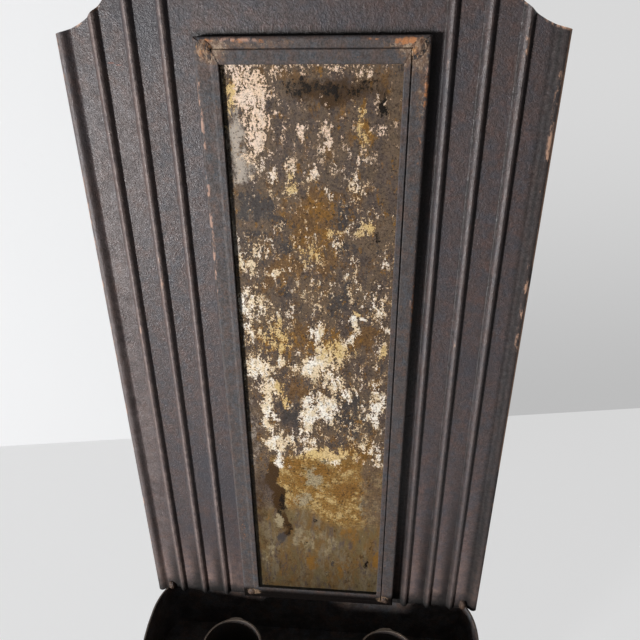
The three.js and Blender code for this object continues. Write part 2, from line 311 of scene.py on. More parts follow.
# One soft patch round a point, for marks that sit in one place
spot = {"ramp": (0.25, 1.15, 1.0, 0.0), "through": 1000}


def makePatch(s):
    group, given, made = newGroup("softPatch", [
        ("Place", "vector"), ("Middle", "vector"), ("Size", "vector"), ("Amount", "number")],
        [("Amount", "number")])
    fromMiddle = shift(group, "SUBTRACT", given["Place"], given["Middle"])
    outward = shift(group, "LENGTH", shift(group, "DIVIDE", fromMiddle, given["Size"]))
    feed(group, made["Amount"], times(group, fade(group, outward, *s["ramp"]), given["Amount"]))
    return group


tinPatina = makePatina(tin)
rubbedEdge = makeRub(streaked)
softPatch = makePatch(spot)


# Marks are (across, up, half wide, half tall, strength), in millimetres, and go right through the depth
def patches(tree, place, marks):
    marked = []
    for across, up, wide, tall, amount in marks:
        marked.append(useGroup(tree, softPatch, {
            "Place": place, "Middle": (across, 0, up), "Size": (wide, spot["through"], tall),
            "Amount": amount})["Amount"])
    return total(tree, marked)


def frayed(tree, place, noise, marks, ramp):
    return fade(tree, plus(tree, noise, patches(tree, place, marks)), *ramp)


# A rubbed line broken by streaks. Its wear is (cover, reach, streak size), and marks add to the cover.
def rubbed(tree, place, distance, wear, marks=()):
    cover, furthest, streaks = wear
    return useGroup(tree, rubbedEdge, {
        "Place": place, "Distance": distance, "Reach": furthest, "Streak Size": streaks,
        "Cover": plus(tree, patches(tree, place, marks), cover) if marks else cover})["Mask"]


def patina(tree, place, s):
    return useGroup(tree, tinPatina, {
        "Place": moved(tree, place, s["skinFrom"]), "Base": s["base"], "Cool": s["cool"], "Warm": s["warm"],
        "Cool Share": s["coolShare"], "Warm Share": s["warmShare"], "Blotch Size": s["blotches"],
        "Grain Size": s["grain"]})


print("effects built")


# Lamps, world, floor and wall. The lamps and the wall's foot are in metres, ramps in millimetres.
studio = {
    "keyPlace": (-0.70, -0.72, 0.085), "keyAim": (0, 0.02, 0.13), "keySize": 0.16, "keyPower": 15.4,
    "rearPlace": (0.5, 0.75, 1.0), "rearAim": (0, 0.0, 0.05), "rearSize": 0.7, "rearPower": 8.0,
    "worldLevel": 0.11, "worldSeen": 0.75,
    "sheetReach": 2, "wallTall": 1.2, "wallFoot": 0.199, "wallTurn": 9.87,
    "sheetNoise": ((0, 0, 0), 60, 3, 0.5), "sheetShade": 0.96, "roughness": 0.9, "specular": 0.15,
    "floorColour": paint(138, 139, 141), "floorGlow": 0.655, "glowFrom": -260, "glowTo": -50,
    "wallColour": paint(128, 129, 131), "wallGlow": 0.61,
    "shadeAcross": (-60, 120), "shadeUp": (0, 260, -0.12, 0.06),    # the wall's right half, foot to top
}


def addLamp(name, place, aim, size, power):
    light = bpy.data.lights.new(name, "AREA")
    light.shape = "DISK"
    light.size = size
    light.energy = power
    holder = bpy.data.objects.new(name, light)
    scene.collection.objects.link(holder)
    look = Vector(aim) - Vector(place)
    holder.matrix_world = Matrix.Translation(place) @ look.to_track_quat("-Z", "Y").to_matrix().to_4x4()


def addWorld(s):
    world = bpy.data.worlds.new("paleStudio")
    world.use_nodes = True
    tree = world.node_tree
    rays = tree.nodes.new("ShaderNodeLightPath").outputs
    back = tree.nodes["Background"].inputs
    back["Color"].default_value = (1, 1, 1, 1)
    feed(tree, back["Strength"], fade(tree, rays["Is Camera Ray"], 0.0, 1.0, s["worldLevel"], s["worldSeen"]))
    scene.world = world


def backdrop(name, s, colour, corners):
    mesh = bpy.data.meshes.new(name)
    shape = bmesh.new()
    shape.faces.new([shape.verts.new(corner) for corner in corners])
    shape.to_mesh(mesh)
    shape.free()
    piece = bpy.data.objects.new(name, mesh)
    scene.collection.objects.link(piece)
    material, tree, shader, place = newMaterial(name)
    feed(tree, shader["Base Color"], mixColours(tree, cloud(tree, place, s["sheetNoise"]), colour,
                                                shift(tree, "SCALE", colour[:3], s["sheetShade"])))
    shader["Roughness"].default_value = s["roughness"]
    shader["Specular IOR Level"].default_value = s["specular"]
    shader["Emission Color"].default_value = (1, 1, 1, 1)
    mesh.materials.append(material)
    return tree, shader, place


# Mirrored in the tin, the floor's brightness sinks towards the front
def addFloor(s):
    far = s["sheetReach"]
    tree, shader, place = backdrop("paleFloor", s, s["floorColour"], [
        (-far, -far, 0), (far, -far, 0), (far, far, 0), (-far, far, 0)])
    rays = tree.nodes.new("ShaderNodeLightPath").outputs
    near = fade(tree, split(tree, place, "Y")[0], s["glowFrom"], s["glowTo"], 0.0, s["floorGlow"])
    feed(tree, shader["Emission Strength"], total(tree, [
        times(tree, rays["Is Camera Ray"], s["floorGlow"]),
        times(tree, rays["Is Glossy Ray"], near)]))


# The wall is clear from behind, for views from there and for the rear lamp
def addWall(s):
    far, tall = s["sheetReach"], s["wallTall"]
    turn = Matrix.Rotation(radians(s["wallTurn"]), 4, "Z")
    foot = Vector((0, s["wallFoot"], 0))
    tree, shader, place = backdrop("paleWall", s, s["wallColour"], [
        foot + turn @ Vector(corner)
        for corner in ((-far, 0, 0), (far, 0, 0), (far, 0, tall), (-far, 0, tall))])
    across, up = split(tree, place, "XZ")
    shaded = times(tree, fade(tree, across, *s["shadeAcross"]), fade(tree, up, *s["shadeUp"]))
    rays = tree.nodes.new("ShaderNodeLightPath").outputs
    feed(tree, shader["Emission Strength"], times(
        tree, plus(tree, shaded, s["wallGlow"]), plus(tree, rays["Is Camera Ray"], rays["Is Glossy Ray"])))
    mix = tree.nodes.new("ShaderNodeMixShader")
    tree.links.new(tree.nodes.new("ShaderNodeNewGeometry").outputs["Backfacing"], mix.inputs[0])
    tree.links.new(tree.nodes["Principled BSDF"].outputs[0], mix.inputs[1])
    tree.links.new(tree.nodes.new("ShaderNodeBsdfTransparent").outputs[0], mix.inputs[2])
    tree.links.new(mix.outputs[0], tree.nodes["Material Output"].inputs["Surface"])


def addStudio(s):
    addLamp("keyLamp", s["keyPlace"], s["keyAim"], s["keySize"], s["keyPower"])
    addLamp("rearLamp", s["rearPlace"], s["rearAim"], s["rearSize"], s["rearPower"])
    addWorld(s)
    addFloor(s)
    addWall(s)


addStudio(studio)
print("studio set")


# Small facets of a rounded form share soft normals; flat faces keep their own
softness = {"mergeWithin": 0.000001, "sharpFrom": 32.0}


def makeSoftener(s):
    group = bpy.data.node_groups.new("softFacets", "GeometryNodeTree")
    group.interface.new_socket(name="Geometry", in_out="INPUT", socket_type="NodeSocketGeometry")
    group.interface.new_socket(name="Geometry", in_out="OUTPUT", socket_type="NodeSocketGeometry")
    merge = group.nodes.new("GeometryNodeMergeByDistance")
    merge.inputs["Distance"].default_value = s["mergeWithin"]
    faces = group.nodes.new("GeometryNodeSetShadeSmooth")
    edges = group.nodes.new("GeometryNodeSetShadeSmooth")
    edges.domain = "EDGE"
    edges.inputs["Shade Smooth"].default_value = False
    steep = group.nodes.new("FunctionNodeCompare")
    steep.operation = "GREATER_THAN"
    steep.inputs["B"].default_value = radians(s["sharpFrom"])
    angle = group.nodes.new("GeometryNodeInputMeshEdgeAngle")
    group.links.new(angle.outputs["Unsigned Angle"], steep.inputs["A"])
    group.links.new(steep.outputs["Result"], edges.inputs["Selection"])
    given = group.nodes.new("NodeGroupInput").outputs["Geometry"]
    for node in (merge, faces, edges):
        group.links.new(given, node.inputs["Geometry"])
        given = node.outputs["Geometry"]
    group.links.new(given, group.nodes.new("NodeGroupOutput").inputs["Geometry"])
    return group


softFacets = makeSoftener(softness)


def soften(*names):
    for name in names:
        modifiers = bpy.data.objects[name].modifiers
        modifiers.new("softFacets", "NODES").node_group = softFacets
        weighted = modifiers.new("weightedNormals", "WEIGHTED_NORMAL")
        weighted.keep_sharp = True


# Backplate: flat strips between raised beads, rubbed to copper-tan along the crests
plate = {
    "base": paint(72, 62, 61), "cool": paint(63, 62, 67), "warm": paint(82, 64, 59),
    "deep": paint(57, 56, 61), "grimeAndShade": paint(24, 20, 19), "worn": paint(184, 146, 122),
    "shoulder": paint(124, 109, 104), "farShoulder": paint(98, 88, 85),
    "dust": paint(108, 88, 80), "scratch": paint(112, 68, 54),
    "skinFrom": (0, 0, 0), "coolShare": 0.8, "warmShare": 0.8, "blotches": 5.0, "grain": 0.48,
    "roughness": 0.44, "specular": 0.42, "bumps": 0.19,
    "scoopRadius": 30.0, "scoopBeyond": 6.24,    # its middle lies beyond the plate's corner
    "firstCrest": 42.6, "halfPitch": 5.333, "flatTo": 39.5, "offBeads": 9.0,
    "blend": 40.0,    # values for the left and right half blend over this much on each side
    "crestWear": (0.1, 1.0, 2.4), "edgeWear": (0.5, 0.8, 2.6), "wornShare": 0.85,
    "rubbed": [(-54, 192, 4, 20, 0.42), (-46, 185, 4, 16, 0.42), (-64, 165, 4, 9, 0.4),
               (43, 262, 4, 9, 0.4), (52.5, 163, 3, 7, 0.5), (-53.5, 120, 4, 22, 0.24),
               (64, 190, 4, 26, 0.2), (64, 262, 4, 14, 0.4), (-42.6, 90, 4, 22, 0.24),
               (74.6, 244, 4, 28, 0.46), (74.6, 180, 4, 40, 0.38), (74.6, 100, 4, 40, 0.2)],
    "rubbedEdge": [(75, 235, 5, 40, 0.6), (75, 150, 5, 50, 0.4)],
    "scratches": [(-60.5, 260.2, 1.6, 0.4, 1.0), (-58.2, 259.6, 1.4, 0.35, 0.9)],
    "scratchRamp": (0.3, 0.8, 0.0, 0.7),
    # grime and painted shade in the foot of each bead, stronger on the right half, where it narrows the
    # beads' lit flanks
    "beadFoot": 1.6, "footRamp": (0.0, 0.9, 1.0, 0.0), "footSides": (0.25, 1.0),
    "footNoise": ((0, 0, 0), 6.0, 4, 0.6), "footBroken": (0.35, 0.6, 0.35, 0.8),
    "dim": [(58, 42, 26, 26, 0.34), (40, 250, 8, 60, 0.3), (-40, 70, 22, 60, 0.3), (-46, 275, 20, 16, 0.3)],
    "dimNoise": ((0, 0, 60), 26.0, 4, 0.6), "dimGain": 1.4, "dimRamp": (0.0, 0.5, 0.0, 0.8),
    # painted shadow of the frame: a line above it and a strip to the right of it, on the front only
    "shadowUp": (0.4, 2.6, 0.92, 0.0), "shadowOut": (-1.0, 3.0, 1.0, 0.0),
    "shadowBeside": 0.8, "shadowBesideOut": (0.8, 2.0, 0.7, 0.0), "shadowBelow": 3.0, "front": (-0.5, -0.2, 1.0, 0.0),
    # paler shoulders of the beads, partly rubbed wear and partly painted highlight, wider and stronger on the
    # left, towards the lamp
    "shoulderFrom": 0.2, "shoulderTo": (2.0, 1.1), "shoulderLow": (0.25, 0.1), "shoulderHigh": (0.85, 0.6),
    "shoulderNoise": ((8, 0, 2), 2.4, 6, 0.72), "shoulderBroken": (0.38, 0.64),
    "leftBead": (-71.0, -69.5, 0.3, 1.0),
    # painted shade and more roughness on the right edge bead take out its sheen
    "rightEdge": (69.5, 71.5), "rightEdgeShade": 0.6, "rightEdgeRough": 0.35,
    # painted sheen on the left outer flats, in the shoulders' paler colour
    "paintedSheen": [(-70, 150, 7, 130, 0.5), (-58, 232, 6, 40, 0.3)],
    "paintedSheenNoise": ((0, 0, 0), 5.0, 6, 0.7), "paintedSheenBroken": (0.35, 0.65),
    "dustUp": (26.0, 75.0, 0.7, 0.0), "dustRough": 0.2,
    "dustNoise": ((3, 0, 9), 3.0, 5, 0.7), "dustBroken": (0.35, 0.65, 0.2, 1.0),
    # the foot of the plate is darkened by the pan's painted shadow, and painted shade and light take the
    # beads' contrast away towards it
    "lowUp": (37.0, 26.0), "lowNoise": ((0, 0, 0), 9.0, 4, 0.6), "lowWaves": 18.0, "lowRough": 0.25,
    "evenTo": 36.0, "evenFrom": (66.0, 135.0), "evenOut": 0.7,
}


# How far a place on the plate is from its cut edge, scoops included
def fromEdge(tree, side, up, corner, s):
    toScoop = reach(tree, minus(tree, side, corner[0] + s["scoopBeyond"]),
                    minus(tree, up, corner[2] + s["scoopBeyond"]))
    return calc(tree, "MINIMUM", minus(tree, corner[0], side), calc(
        tree, "MINIMUM", minus(tree, toScoop, s["scoopRadius"]), minus(tree, corner[2], up)))


# Painted shadow of the frame on the plate, above the top rail and along the right stile
def frameShadow(tree, across, deep, up, back, s):
    (middle, halfWide), (height, halfTall) = frameSize()
    top = height + halfTall
    fromSide = minus(tree, apart(tree, across, middle), halfWide)
    above = times(tree, fade(tree, apart(tree, up, top), *s["shadowUp"]), fade(tree, fromSide, *s["shadowOut"]))
    shadowRight = fade(tree, apart(tree, across, middle + halfWide + s["shadowBeside"]), *s["shadowBesideOut"])
    beside = times(tree, shadowRight, fade(tree, up, top, top - s["shadowBelow"]))
    return times(tree, calc(tree, "MAXIMUM", above, beside), fade(tree, minus(tree, deep, back), *s["front"]))


def finishPlate(s):
    material, tree, shader, place = newMaterial("platePatina")
    across, deep, up = split(tree, place, "XYZ")
    side = calc(tree, "ABSOLUTE", across)
    corner = boxOf("backplate")[1]
    skin = patina(tree, place, s)

    def bySide(left=0.0, right=1.0):
        return fade(tree, across, -s["blend"], s["blend"], left, right)

    beaded = calc(tree, "GREATER_THAN", side, s["flatTo"])
    crest = calc(tree, "PINGPONG", minus(tree, side, s["firstCrest"]), s["halfPitch"])
    crest = plus(tree, crest, fade(tree, beaded, 0.0, 1.0, s["offBeads"], 0.0))
    worn = calc(tree, "MAXIMUM", rubbed(tree, place, crest, s["crestWear"], s["rubbed"]),
                rubbed(tree, place, fromEdge(tree, side, up, corner, s), s["edgeWear"], s["rubbedEdge"]))
    # grime and painted shade in the beads' feet, narrowing the lit flanks on the right half
    foot = times(tree, fade(tree, apart(tree, crest, s["beadFoot"]), *s["footRamp"]),
                 times(tree, beaded, bySide(*s["footSides"])))
    foot = times(tree, foot, fade(tree, cloud(tree, place, s["footNoise"]), *s["footBroken"]))
    wide = around(tree, cloud(tree, place, s["dimNoise"]), s["dimGain"])
    colour = mixColours(tree, frayed(tree, place, wide, s["dim"], s["dimRamp"]), skin["Color"], s["deep"])
    # the frame's painted shadow, and grime and painted shade in the beads' feet, take the dark colour
    sootAndShadow = frameShadow(tree, across, deep, up, corner[1], s)
    colour = mixColours(tree, calc(tree, "MAXIMUM", foot, sootAndShadow), colour, s["grimeAndShade"])
    # painted highlight and rubbed wear on the bead shoulders, stronger towards the lamp on the left
    shoulder = times(tree, fade(tree, crest, s["shoulderFrom"], bySide(*s["shoulderTo"]), 1.0, 0.0),
                     fade(tree, cloud(tree, place, s["shoulderNoise"]), *s["shoulderBroken"],
                          bySide(*s["shoulderLow"]), bySide(*s["shoulderHigh"])))
    shoulder = times(tree, shoulder, fade(tree, across, *s["leftBead"]))
    colour = mixColours(tree, shoulder, colour, mixColours(tree, bySide(), s["shoulder"], s["farShoulder"]))
    # painted shade over the right edge bead's sheen
    rightEdge = fade(tree, across, *s["rightEdge"])
    colour = mixColours(tree, times(tree, rightEdge, s["rightEdgeShade"]), colour, s["grimeAndShade"])
    # painted sheen on the left outer flats
    paintedSheen = times(tree, patches(tree, place, s["paintedSheen"]),
                 fade(tree, cloud(tree, place, s["paintedSheenNoise"]), *s["paintedSheenBroken"]))
    colour = mixColours(tree, paintedSheen, colour, s["shoulder"])
    dusty = times(tree, fade(tree, up, *s["dustUp"]),
                  fade(tree, cloud(tree, place, s["dustNoise"]), *s["dustBroken"]))
    colour = mixColours(tree, dusty, colour, s["dust"])
    # painted shadow of the pan, darkening the plate towards its foot
    waves = around(tree, cloud(tree, place, s["lowNoise"]), s["lowWaves"])
    low = fade(tree, plus(tree, up, waves), *s["lowUp"])
    colour = mixColours(tree, low, colour, s["grimeAndShade"])

    # towards the foot, a bead's flank on the lamp's side gets painted shade and the other one painted light,
    # which evens out their shading
    turn = calc(tree, "SINE", times(tree, minus(tree, side, s["firstCrest"]), pi / s["halfPitch"]))
    facing = times(tree, turn, calc(tree, "SIGN", across))
    even = times(tree, times(tree, facing, beaded),
                 fade(tree, up, s["evenTo"], bySide(*s["evenFrom"]), s["evenOut"], 0.0))
    colour = shade(tree, colour, plus(tree, even, 1.0))
    colour = mixColours(tree, times(tree, worn, s["wornShare"]), colour, s["worn"])
    scratched = fade(tree, patches(tree, place, s["scratches"]), *s["scratchRamp"])
    colour = mixColours(tree, scratched, colour, s["scratch"])
    roughness = total(tree, [skin["Roughness"], s["roughness"], times(tree, low, s["lowRough"]),
                             times(tree, dusty, s["dustRough"]), times(tree, rightEdge, s["rightEdgeRough"])])
    dress(material, tree, shader, s, colour, roughness, skin["Height"], "backplate")


finishPlate(plate)
soften("backplate")
print("backplate finished")


# Frame moulding and the inner lips: folds rubbed pink and copper, solder stain round the mitres
moulding = {
    "base": paint(73, 66, 64), "cool": paint(67, 70, 75), "warm": paint(84, 67, 60),
    "worn": paint(178, 142, 124), "grimeAndShade": paint(20, 15, 13), "copper": paint(176, 116, 72),
    "stain": paint(112, 88, 70), "paleStain": paint(158, 138, 118), "smear": paint(120, 98, 78),
    "skinFrom": (0, 40, 0), "coolShare": 0.8, "warmShare": 0.85, "blotches": 4.0, "grain": 0.55,
    "roughness": 0.6, "specular": 0.3, "bumps": 0.17,
    "foldIn": 0.9, "foldWear": (0.12, 0.9, 1.7), "wornShare": 0.85,
    "rubbed": [(-32, 246, 4, 14, 0.42), (-32, 215, 4, 26, 0.42), (-32, 190, 4, 14, 0.3),
               (-32, 150, 4, 30, 0.16), (-32, 60, 4, 22, 0.2), (-20, 266, 14, 3.5, 0.5),
               (36.5, 185, 4, 26, 0.3), (36, 253, 4, 9, 0.4)],
    "ragged": ((2, 9, 4), 2.2, 6, 0.75),
    "stained": [(-27.5, 263, 6, 5, 0.9), (32.5, 262, 6, 6, 0.8), (28, 265, 8, 2.2, 0.6),
                (-14, 265, 18, 2.2, 0.4), (-30, 31.5, 4, 3, 0.5), (34, 32, 4, 3, 0.5),
                (35, 250, 2.5, 12, 0.45)],
    "stainPull": 0.3, "stainRamp": (0.56, 0.74), "stainShare": 0.75,
    "paleNoise": ((5, 1, 8), 1.1, 5, 0.75), "palePull": 0.16, "paleRamp": (0.62, 0.7),
    "paleNear": (0.1, 0.6, 0.0, 0.8),
    "coppery": [(30, 265.8, 6, 1.6, 0.55), (20, 266.4, 3, 0.8, 0.3), (-19, 266, 3, 1.0, 0.4),
                (-13, 266, 2, 1.0, 0.4), (-29, 266, 3, 1.2, 0.4), (36, 252, 1.2, 8, 0.4),
                (36.6, 182, 0.9, 18, 0.34), (35, 236, 1.4, 8, 0.2), (-30.5, 70, 1.6, 16, 0.22)],
    "copperNoise": ((8, 3, 6), 1.5, 6, 0.75), "copperGain": 1.6, "copperRamp": (0.24, 0.55, 0.0, 0.85),
    # painted shadow on the lower rail, which is also partly metallic to mirror the dark pan, but for its
    # smears of solder
    "shadowUp": (33.0, 36.5, 0.96, 0.0), "shadowRough": 0.4, "shadowMetal": 0.85,
    "smeared": [(-28, 32.6, 5, 2.6, 0.6), (32, 32.8, 4, 3, 0.55)],
    "smearGain": 1.2, "smearRamp": (0.2, 0.5), "smearShare": 0.85,
}


def finishMoulding(s):
    material, tree, shader, place = newMaterial("mouldingPatina")
    across, up = split(tree, place, "XZ")
    skin = patina(tree, place, s)
    (middle, halfWide), (height, halfTall) = frameSize()
    inward = calc(tree, "MINIMUM", minus(tree, halfWide, apart(tree, across, middle)),
                  minus(tree, halfTall, apart(tree, up, height)))
    worn = rubbed(tree, place, apart(tree, inward, s["foldIn"]), s["foldWear"], s["rubbed"])
    ragged = cloud(tree, place, s["ragged"])
    near = patches(tree, place, s["stained"])
    stain = fade(tree, plus(tree, ragged, times(tree, near, s["stainPull"])), *s["stainRamp"])
    pale = plus(tree, cloud(tree, place, s["paleNoise"]), times(tree, near, s["palePull"]))
    paleStain = times(tree, fade(tree, pale, *s["paleRamp"]), fade(tree, near, *s["paleNear"]))
    colour = mixColours(tree, times(tree, stain, s["stainShare"]), skin["Color"], s["stain"])
    colour = mixColours(tree, paleStain, colour, s["paleStain"])
    colour = mixColours(tree, times(tree, worn, s["wornShare"]), colour, s["worn"])
    fine = around(tree, cloud(tree, place, s["copperNoise"]), s["copperGain"])
    colour = mixColours(tree, frayed(tree, place, fine, s["coppery"], s["copperRamp"]), colour, s["copper"])
    # painted shadow on the lower rail
    sootAndShadow = fade(tree, up, *s["shadowUp"])
    colour = mixColours(tree, sootAndShadow, colour, s["grimeAndShade"])
    smeared = frayed(tree, place, around(tree, ragged, s["smearGain"]), s["smeared"], s["smearRamp"])
    colour = mixColours(tree, times(tree, smeared, s["smearShare"]), colour, s["smear"])
    feed(tree, shader["Metallic"], times(tree, sootAndShadow, minus(tree, s["shadowMetal"], smeared), clamped=True))
    roughness = total(tree, [skin["Roughness"], s["roughness"], times(tree, sootAndShadow, s["shadowRough"])])
    dress(material, tree, shader, s, colour, roughness, skin["Height"],
          *frameNodes, *lipNodes, "seam_fill_left", "seam_fill_bottom")


# Old paint that fills the left and lower seams between moulding and lip. Its section is given as
# (inwards from the lips' outer edge, depth), and it stops short of the lips' ends.
seamFill = {
    "section": [(-0.75, 24.2), (0.02, 23.98), (0.02, 24.85), (-0.55, 24.5)],
    "leftShort": 0.5, "lowShort": 0.4,
}


def addSeamFill(name, section, along):
    mesh = bpy.data.meshes.new(name)
    shape = bmesh.new()
    end = shape.faces.new([shape.verts.new(Vector(corner) / 1000) for corner in section])
    pushed = bmesh.ops.extrude_face_region(shape, geom=[end])["geom"]
    bmesh.ops.translate(shape, verts=[part for part in pushed if isinstance(part, bmesh.types.BMVert)],
                        vec=Vector(along) / 1000)
    bmesh.ops.recalc_face_normals(shape, faces=shape.faces)
    shape.faces.sort(key=lambda face: sum(face.calc_center_median()))    # the same order in every run
    shape.to_mesh(mesh)
    shape.free()
    piece = bpy.data.objects.new(name, mesh)
    scene.collection.objects.link(piece)
    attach(piece, "root")


def addSeamFills(s):
    low, high = boxOf(*lipNodes)
    left, foot = low[0] + s["lowShort"], low[2] + s["leftShort"]
    addSeamFill("seam_fill_left", [(low[0] + inward, deep, foot) for inward, deep in s["section"]],
                (0, 0, high[2] - s["leftShort"] - foot))
    addSeamFill("seam_fill_bottom", [(left, deep, low[2] + inward) for inward, deep in s["section"]],
                (high[0] - s["lowShort"] - left, 0, 0))


addSeamFills(seamFill)
finishMoulding(moulding)
soften(*frameNodes)
print("frame finished")


# Drip pan: candle grime inside, rim rubbed grey
pan = {
    "base": paint(96, 90, 88), "cool": paint(88, 93, 100), "warm": paint(112, 88, 76),
    "grimeAndShade": paint(54, 47, 45), "worn": paint(124, 112, 102),
    "skinFrom": (90, 0, 0), "coolShare": 0.8, "warmShare": 0.85, "blotches": 6.0, "grain": 0.65,
    "roughness": 0.46, "specular": 0.45, "bumps": 0.2,
    "rimWear": (0.7, 0.6, 3.0),
    "soilNoise": ((0, 30, 0), 9.0, 6, 0.7), "soilRamp": (0.42, 0.62, 0.15, 0.8),
}


def finishPan(s):
    material, tree, shader, place = newMaterial("panPatina")
    fromRim = minus(tree, boxOf("pan_wall")[1][2], split(tree, place, "Z")[0])
    skin = patina(tree, place, s)
    soiled = fade(tree, cloud(tree, place, s["soilNoise"]), *s["soilRamp"])
    colour = mixColours(tree, soiled, skin["Color"], s["grimeAndShade"])
    colour = mixColours(tree, rubbed(tree, place, fromRim, s["rimWear"]), colour, s["worn"])
    dress(material, tree, shader, s, colour, plus(tree, skin["Roughness"], s["roughness"]), skin["Height"],
          "pan_floor", "pan_wall", "pan_back")


finishPan(pan)
soften("pan_wall")


# Candle cups: rim rubbed to a thin pale line, soot inside
cup = {
    "base": paint(74, 65, 61), "cool": paint(66, 68, 72), "warm": paint(92, 68, 55),
    "soot": paint(52, 46, 43), "worn": paint(136, 124, 112),
    "skinFrom": (0, 0, 140), "coolShare": 0.8, "warmShare": 0.8, "blotches": 4.0, "grain": 0.55,
    "roughness": 0.46, "specular": 0.45, "bumps": 0.14,
    "rimWear": (0.75, 0.35, 2.5), "wornShare": 0.85,
    "sootFrom": 0.5, "sootDown": (0.2, 9.0, 0.15, 0.85),    # inwards from the tube's outside, and downwards
}


def finishCups(s):
    material, tree, shader, place = newMaterial("cupPatina")
    across, deep, up = split(tree, place, "XYZ")
    skin = patina(tree, place, s)
    low, high = boxOf("candle_cup_right")
    fromAxis = reach(tree, minus(tree, calc(tree, "ABSOLUTE", across), (low[0] + high[0]) / 2), deep)
    inside = calc(tree, "LESS_THAN", fromAxis, (high[0] - low[0]) / 2 - s["sootFrom"])
    fromRim = minus(tree, high[2], up)
    worn = rubbed(tree, place, fromRim, s["rimWear"])
    sootAndShadow = times(tree, inside, fade(tree, fromRim, *s["sootDown"]))
    colour = mixColours(tree, sootAndShadow, skin["Color"], s["soot"])
    colour = mixColours(tree, times(tree, worn, s["wornShare"]), colour, s["worn"])
    dress(material, tree, shader, s, colour, plus(tree, skin["Roughness"], s["roughness"]), skin["Height"],
          "candle_cup_left", "candle_cup_right")


finishCups(cup)
soften("candle_cup_left", "candle_cup_right")
print("pan and cups finished")


# Solder: rust, tan and cream crust with grey dents
solder = {
    "rust": paint(104, 76, 58), "tan": paint(146, 120, 98), "cream": paint(184, 164, 142),
    "grey": paint(46, 42, 42), "gold": paint(172, 124, 78), "dull": paint(72, 55, 45),
    "stretch": (1, 1, 0.6), "lump": ((0, 0, 0), 2.6, 6, 0.7), "fine": ((11, 5, 7), 1.0, 5, 0.72),
    "hue": ((1, 2, 5), 3.6, 3, 0.5),
    "rustRamp": (0.42, 0.56), "tanRamp": (0.46, 0.58), "goldRamp": (0.52, 0.62), "creamRamp": (0.61, 0.68),
    "dullUp": (60.0, 40.0, 0.0, 0.85), "roughRamp": (0.3, 0.7, 0.43, 0.67), "fineHeight": 0.4,
    "specular": 0.5, "bumps": 1.2,
    "pieces": ["pan_seam_solder_left", "pan_seam_solder_right", "cup_solder_left", "cup_solder_right",
               "corner_solder_top_left", "corner_solder_top_right", "corner_solder_bottom_left",
               "corner_solder_bottom_right"],
}


def finishSolder(s):
    material, tree, shader, place = newMaterial("lumpySolder")
    drawn = shift(tree, "MULTIPLY", place, s["stretch"])
    lump = cloud(tree, drawn, s["lump"])
    fine = cloud(tree, drawn, s["fine"])
    crust = mixColours(tree, fade(tree, cloud(tree, place, s["hue"]), *s["goldRamp"]), s["tan"], s["gold"])
    colour = mixColours(tree, fade(tree, lump, *s["rustRamp"]), s["grey"], s["rust"])
    colour = mixColours(tree, fade(tree, fine, *s["tanRamp"]), colour, crust)
    colour = mixColours(tree, fade(tree, fine, *s["creamRamp"]), colour, s["cream"])
    colour = mixColours(tree, fade(tree, split(tree, place, "Z")[0], *s["dullUp"]), colour, s["dull"])
    dress(material, tree, shader, s, colour, fade(tree, fine, *s["roughRamp"]),
          plus(tree, lump, times(tree, fine, s["fineHeight"])), *s["pieces"])
    soften(*s["pieces"])


finishSolder(solder)
print("solder finished")


